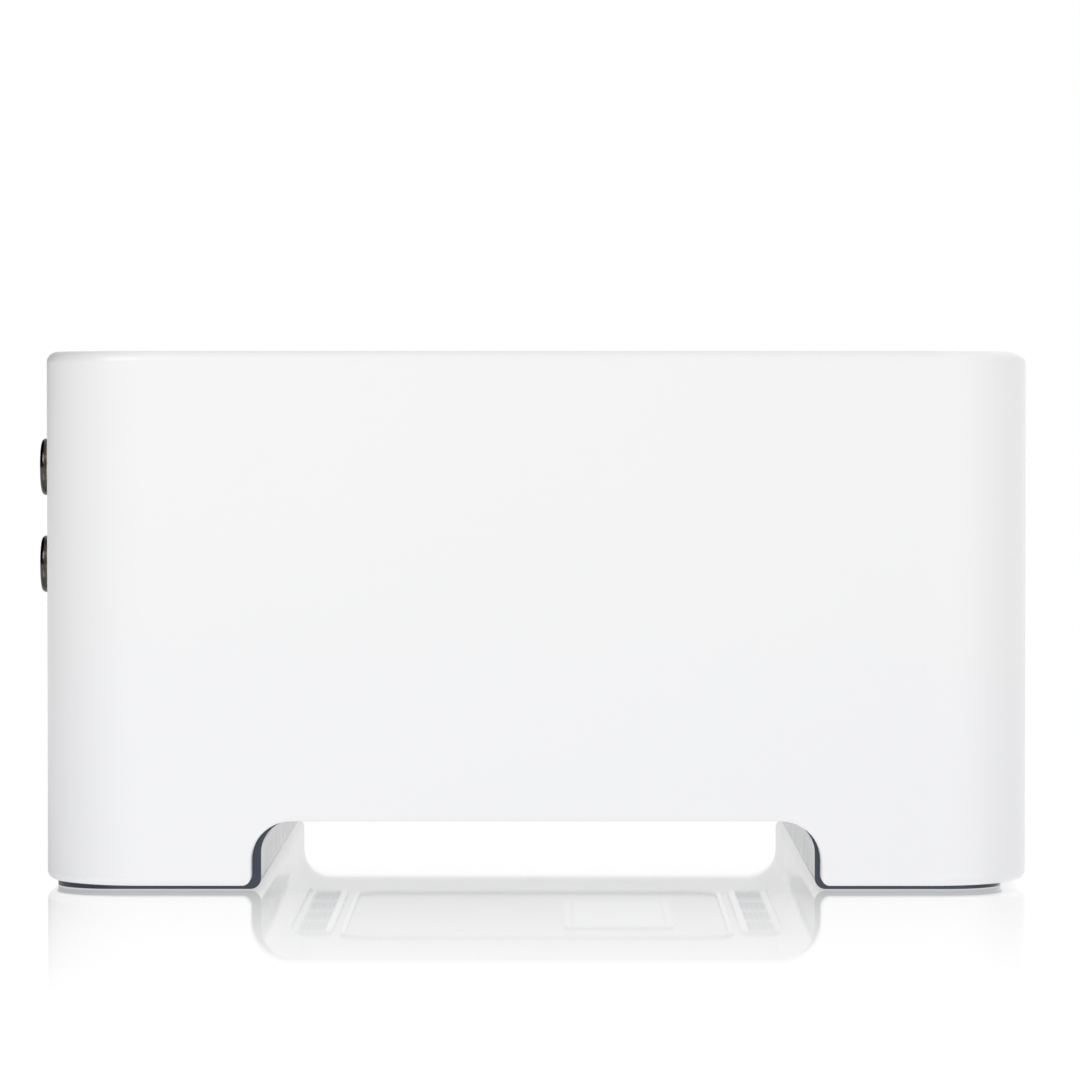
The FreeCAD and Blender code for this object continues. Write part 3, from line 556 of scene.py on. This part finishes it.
def soft_box(made, low, high, edge):
    """A box with its edges bevelled."""
    result = bmesh.ops.create_cube(made, size=1.0)
    middle = (Vector(low) + Vector(high)) / 2
    size = Vector(high) - Vector(low)
    for vertex in result["verts"]:
        vertex.co = Vector([middle[i] + vertex.co[i] * size[i] for i in range(3)])
    edges = {e for v in result["verts"] for e in v.link_edges}
    bmesh.ops.bevel(made, geom=list(edges), offset=edge, segments=2, affect="EDGES", profile=0.5)


def rear_marks():
    """Printed marks on the rear panel: a ring round each jack, arrows, and plain signs for the sockets."""
    y = (PANEL_Y, PANEL_Y + PRINT)
    collar = 5.1 * MM
    colours = {"white_insert": bmesh.new(), "red_insert": bmesh.new(), "orange_insert": bmesh.new()}
    jacks = islands("line_jack_barrels")
    middle_z = sum(low.z + high.z for low, high in jacks) / (2 * len(jacks))
    top = max(high.z for low, high in jacks)
    for low, high in jacks + islands("coax_jack_barrel"):
        x = (low.x + high.x) / 2
        z = (low.z + high.z) / 2
        slot = "white_insert" if z > middle_z else "red_insert"
        slot = slot if x < 0 else "orange_insert"
        rim = circle(x, z, collar + 0.75 * MM), circle(x, z, collar + 0.4 * MM)
        band(colours[slot], *rim, y)
    white = colours["white_insert"]
    arrow_z = top + 1.7 * MM
    first_x = min(low.x for low, high in jacks) + collar
    last_x = max(high.x for low, high in jacks) - collar
    for x, sign in ((first_x, 1), (last_x, -1)):
        back_z = arrow_z - sign * 0.7 * MM
        tip = [(x - 0.9 * MM, back_z), (x + 0.9 * MM, back_z), (x, arrow_z + sign * 0.8 * MM)]
        prism(white, tip, y)
        bar_z = arrow_z - sign * 1.1 * MM
        prism(white, square(x, bar_z, 1.8 * MM, 0.25 * MM), y)
    low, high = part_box("network_socket")
    x = (low.x + high.x) / 2
    z = high.z + 2.1 * MM
    for dx, dz in ((0.0, 1.0), (-1.5, -0.8), (1.5, -0.8)):
        prism(white, square(x + dx * MM, z + dz * MM, 1.0 * MM, 0.8 * MM), y)
    prism(white, square(x, z + 0.25 * MM, 0.2 * MM, 0.7 * MM), y)
    prism(white, square(x, z - 0.2 * MM, 3.2 * MM, 0.2 * MM), y)
    low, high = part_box("optical_socket")
    x = (low.x + high.x) / 2
    z = high.z + 2.2 * MM
    band(white, circle(x, z, 1.1 * MM), circle(x, z, 0.85 * MM), y)
    prism(white, circle(x, z, 0.4 * MM, 24), y)
    low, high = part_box("power_inlet")
    x = high.x + 3.6 * MM
    z = (low.z + high.z) / 2
    steps = 24
    turn = 2 * math.pi / steps
    wave = []
    for side in (-1, 1):
        run = [(i / steps - 0.5, 0.75 * math.sin(turn * i) + side * 0.14) for i in range(steps + 1)]
        run = run if side < 0 else run[::-1]
        wave += [(x + 4.0 * MM * a, z + MM * b) for a, b in run]
    prism(white, wave, y)
    for slot, made in colours.items():
        piece("rear_marks_" + slot.split("_")[0], made, slot)


def port_springs():
    """The bowed earthing springs on both side walls of each network port."""
    made = bmesh.new()
    low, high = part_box("network_socket")
    middle = (low.x + high.x) / 2
    wall = 5.93 * MM
    contacts = islands("network_contacts")
    rows = sorted({round(top.z, 5) for bottom, top in contacts})
    face_y = high.y
    steps = 8
    for top in rows:
        z = (top - 4.6 * MM, top - 2.4 * MM)
        for side in (-1, 1):
            outline = []
            for inset in (0.0, 0.15 * MM):
                run = []
                for i in range(steps + 1):
                    part = i / steps
                    bow = 0.45 * MM * math.sin(math.pi * part)
                    run.append((middle + side * (wall - bow - inset), face_y - (0.4 + 4.0 * part) * MM))
                outline += run if inset == 0.0 else run[::-1]
            layers = [[made.verts.new((x, y, height)) for x, y in outline] for height in z]
            made.faces.new(layers[0])
            made.faces.new(layers[1])
            for i in range(len(outline)):
                j = (i + 1) % len(outline)
                made.faces.new((layers[0][i], layers[0][j], layers[1][j], layers[1][i]))
    piece("port_springs", made, "tinned_steel")


def capacitor_tops():
    """A scored aluminium cap in the top of each upright capacitor."""
    made = bmesh.new()
    count = 32
    for node in ("board_capacitors", "power_capacitors"):
        for low, high in islands(node):
            x = (low.x + high.x) / 2
            y = (low.y + high.y) / 2
            radius = (high.x - low.x) / 2 - 0.45 * MM
            levels = ((1.0, 0.0), (1.0, 0.12), (0.94, 0.16), (0.30, 0.14), (0.0, 0.10))
            rings = []
            for share, rise in levels[:-1]:
                outline = circle(x, y, radius * share, count)
                rings.append([made.verts.new((px, py, high.z + rise * MM)) for px, py in outline])
            tip = made.verts.new((x, y, high.z + levels[-1][1] * MM))
            for lower, upper in zip(rings, rings[1:]):
                for i in range(count):
                    j = (i + 1) % count
                    made.faces.new((lower[i], lower[j], upper[j], upper[i]))
            for i in range(count):
                made.faces.new((rings[-1][i], rings[-1][(i + 1) % count], tip))
            made.faces.new(rings[0])
    piece("capacitor_tops", made, "aluminium", smooth=True)


def chip_leads():
    """The rows of bent leads down two sides of the memory chips and the converter chip."""
    made = bmesh.new()
    pitch = 1.0 * MM
    width = 0.4 * MM
    for node in ("memory_chips", "converter_chip"):
        for low, high in islands(node):
            count = int((high.y - low.y - pitch) / pitch)
            start = (low.y + high.y - (count - 1) * pitch) / 2
            rise = 0.6 * MM
            for i in range(count):
                y = start + i * pitch
                for edge, side in ((low.x, -1), (high.x, 1)):
                    steps = ((0.0, rise), (0.45, rise), (0.7, 0.2 * MM), (1.2, 0.2 * MM))
                    top = [(edge + side * reach * MM, low.z + up) for reach, up in steps]
                    under = [(x, z - 0.15 * MM) for x, z in top[::-1]]
                    prism(made, top + under, (y - width / 2, y + width / 2))
    piece("chip_leads", made, "tinned_steel")


def small_parts():
    """Rows of small resistors and capacitors on the two boards, clear of everything else."""
    chosen = random.Random(11)
    bodies = bmesh.new()
    ends = bmesh.new()
    crowded = ["main_board", "power_board", "top_shell", "base_tray", "rear_panel", "wireless_card"]
    crowded += ["wireless_shield", "antennas", "antenna_leads", "insulating_sheet"]
    taken = []
    for node in NODES:
        if node not in crowded:
            taken += islands(node)
    boards = (("main_board", 150), ("power_board", 40))
    for board, wanted in boards:
        low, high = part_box(board)
        spots = []
        tries = 0
        while len(spots) < wanted and tries < 4000:
            tries += 1
            x = round(chosen.uniform(low.x + 3 * MM, high.x - 3 * MM) / (1.5 * MM)) * 1.5 * MM
            y = round(chosen.uniform(low.y + 3 * MM, high.y - 3 * MM) / (1.5 * MM)) * 1.5 * MM
            turned = chosen.random() < 0.5
            half = (0.5 * MM, 0.9 * MM) if turned else (0.9 * MM, 0.5 * MM)
            if any(abs(x - a) < 2.2 * MM and abs(y - b) < 2.2 * MM for a, b in spots):
                continue
            if any(near(x, y, high.z, box) for box in taken):
                continue
            spots.append((x, y))
            top = high.z + 0.5 * MM
            soft_box(bodies, (x - half[0], y - half[1], high.z), (x + half[0], y + half[1], top), 0.06 * MM)
            for side in (-1, 1):
                shift = (0.0, side * 0.78 * MM) if turned else (side * 0.78 * MM, 0.0)
                cap = (0.54 * MM, 0.2 * MM) if turned else (0.2 * MM, 0.54 * MM)
                foot = (x + shift[0] - cap[0], y + shift[1] - cap[1], high.z)
                head = (x + shift[0] + cap[0], y + shift[1] + cap[1], top + 0.04 * MM)
                soft_box(ends, foot, head, 0.05 * MM)
    piece("small_part_bodies", bodies, "chip_black")
    piece("small_part_ends", ends, "tinned_steel")


def near(x, y, top, box):
    """Whether a part at (x, y) on a board whose top is at that height would touch the box."""
    low, high = box
    margin = 1.6 * MM
    if low.z > top + 0.8 * MM or high.z < top - 3.0 * MM:
        return False
    return low.x - margin < x < high.x + margin and low.y - margin < y < high.y + margin


# ---- stage --------------------------------------------------------------------------------------
FLOOR_HALF = 6.0
MIRROR_NEAR = 0.56           # how strongly the floor mirrors under the object
MIRROR_REACH = 0.150         # how far past the case that has faded to nothing
MIRROR_CURVE = 0.73
FLOOR_GLOW = 0.99            # just short of white


def add_floor():
    """A pale glossy table, seen from above only, that mirrors the object less and less further out."""
    mesh = bpy.data.meshes.new("floor")
    corners = [(-1, -1), (1, -1), (1, 1), (-1, 1)]
    mesh.from_pydata([(x * FLOOR_HALF, y * FLOOR_HALF, 0.0) for x, y in corners], [], [(0, 1, 2, 3)])
    floor = bpy.data.objects.new("floor", mesh)
    bpy.context.scene.collection.objects.link(floor)
    made = Shader("floor", (0.05, 0.05, 0.05), Roughness=1.0, Emission_Color=(1.0, 1.0, 1.0, 1.0))
    made.surface.inputs["Specular IOR Level"].default_value = 0.0
    made.surface.inputs["Emission Strength"].default_value = FLOOR_GLOW
    gloss_node = made.node("ShaderNodeBsdfGlossy", Color=(1.0, 1.0, 1.0, 1.0), Roughness=0.035)
    axes = made.axes()
    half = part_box("top_shell")[1].x
    aside = made.maths("SUBTRACT", made.maths("ABSOLUTE", axes[0]), half)
    along = made.maths("SUBTRACT", made.maths("ABSOLUTE", axes[1]), half)
    away = made.spread(made.maths("MAXIMUM", aside, along), 0.0, 1.0, (0.0, MIRROR_REACH))
    fade = made.spread(made.maths("POWER", away, MIRROR_CURVE), MIRROR_NEAR, 0.0)
    direct = made.maths("SUBTRACT", 1.0, made.node("ShaderNodeLightPath").outputs["Is Diffuse Ray"])
    fade = made.maths("MULTIPLY", fade, direct)
    blend = made.node("ShaderNodeMixShader")
    made.link(fade, blend.inputs[0])
    made.link(made.surface.outputs[0], blend.inputs[1])
    made.link(gloss_node.outputs[0], blend.inputs[2])
    output = made.tree.nodes["Material Output"]
    see_through = made.node("ShaderNodeBsdfTransparent")
    one_sided = made.node("ShaderNodeMixShader")
    made.link(made.node("ShaderNodeNewGeometry").outputs["Backfacing"], one_sided.inputs[0])
    made.link(blend.outputs[0], one_sided.inputs[1])
    made.link(see_through.outputs[0], one_sided.inputs[2])
    made.link(one_sided.outputs[0], output.inputs["Surface"])
    mesh.materials.append(made.material)


REAR_DARK = (-0.1, 0.37), (1.26, 0.0)          # direction's Y, and the light there
FRONT_DIM = (-0.35, -1.0), (1.0, 0.28)
ROOM_DIM = (-0.80, -0.98), (1.0, 0.78)         # direction's X, towards the viewer
FAR_WALL = (0.965, 0.985), (0.0, 1.0)          # white where the table mirrors it
SOFT_BOX_PLACE = (-0.9, 0.57, 0.75)
SOFT_BOX_SIZE = 0.6
SOFT_BOX_WATTS = 5.0


def add_light():
    """A white studio: even light all round, dark at the rear, and a soft box at the rear left."""
    world = bpy.data.worlds.new("studio")
    world.use_nodes = True
    bpy.context.scene.world = world
    tree = world.node_tree
    background = tree.nodes["Background"]
    where = tree.nodes.new("ShaderNodeTexCoord")
    axes = tree.nodes.new("ShaderNodeSeparateXYZ")
    tree.links.new(where.outputs["Generated"], axes.inputs["Vector"])

    def ramp(output, source, target):
        made = tree.nodes.new("ShaderNodeMapRange")
        for socket, number in zip(("From Min", "From Max", "To Min", "To Max"), (*source, *target)):
            made.inputs[socket].default_value = number
        tree.links.new(output, made.inputs["Value"])
        return made.outputs["Result"]

    def times(a, b):
        made = tree.nodes.new("ShaderNodeMath")
        made.operation = "MULTIPLY"
        tree.links.new(a, made.inputs[0])
        tree.links.new(b, made.inputs[1])
        return made.outputs["Value"]

    rear = ramp(axes.outputs["Y"], *REAR_DARK)
    front = ramp(axes.outputs["Y"], *FRONT_DIM)
    room = ramp(axes.outputs["X"], *ROOM_DIM)
    light = times(times(rear, front), room)
    path = tree.nodes.new("ShaderNodeLightPath")
    shown = tree.nodes.new("ShaderNodeMix")
    seen = tree.nodes.new("ShaderNodeMath")
    seen.operation = "MAXIMUM"
    tree.links.new(path.outputs["Is Camera Ray"], seen.inputs[0])
    mirrored = times(path.outputs["Is Glossy Ray"], ramp(axes.outputs["X"], *FAR_WALL))
    tree.links.new(mirrored, seen.inputs[1])
    tree.links.new(seen.outputs["Value"], shown.inputs[0])
    tree.links.new(light, shown.inputs[2])
    shown.inputs[3].default_value = 1.0
    tree.links.new(shown.outputs[0], background.inputs["Strength"])
    background.inputs["Color"].default_value = (1.0, 1.0, 1.0, 1.0)
    data = bpy.data.lights.new("soft_box", "AREA")
    data.shape = "SQUARE"
    data.size = SOFT_BOX_SIZE
    data.energy = SOFT_BOX_WATTS
    box = bpy.data.objects.new("soft_box", data)
    bpy.context.scene.collection.objects.link(box)
    box.location = SOFT_BOX_PLACE
    box.rotation_euler = (-box.location).to_track_quat("-Z", "Y").to_euler()


bpy.context.scene.view_settings.view_transform = "Standard"
add_camera()
add_floor()
add_light()
paint_nodes()
rear_marks()
port_springs()
capacitor_tops()
chip_leads()
small_parts()
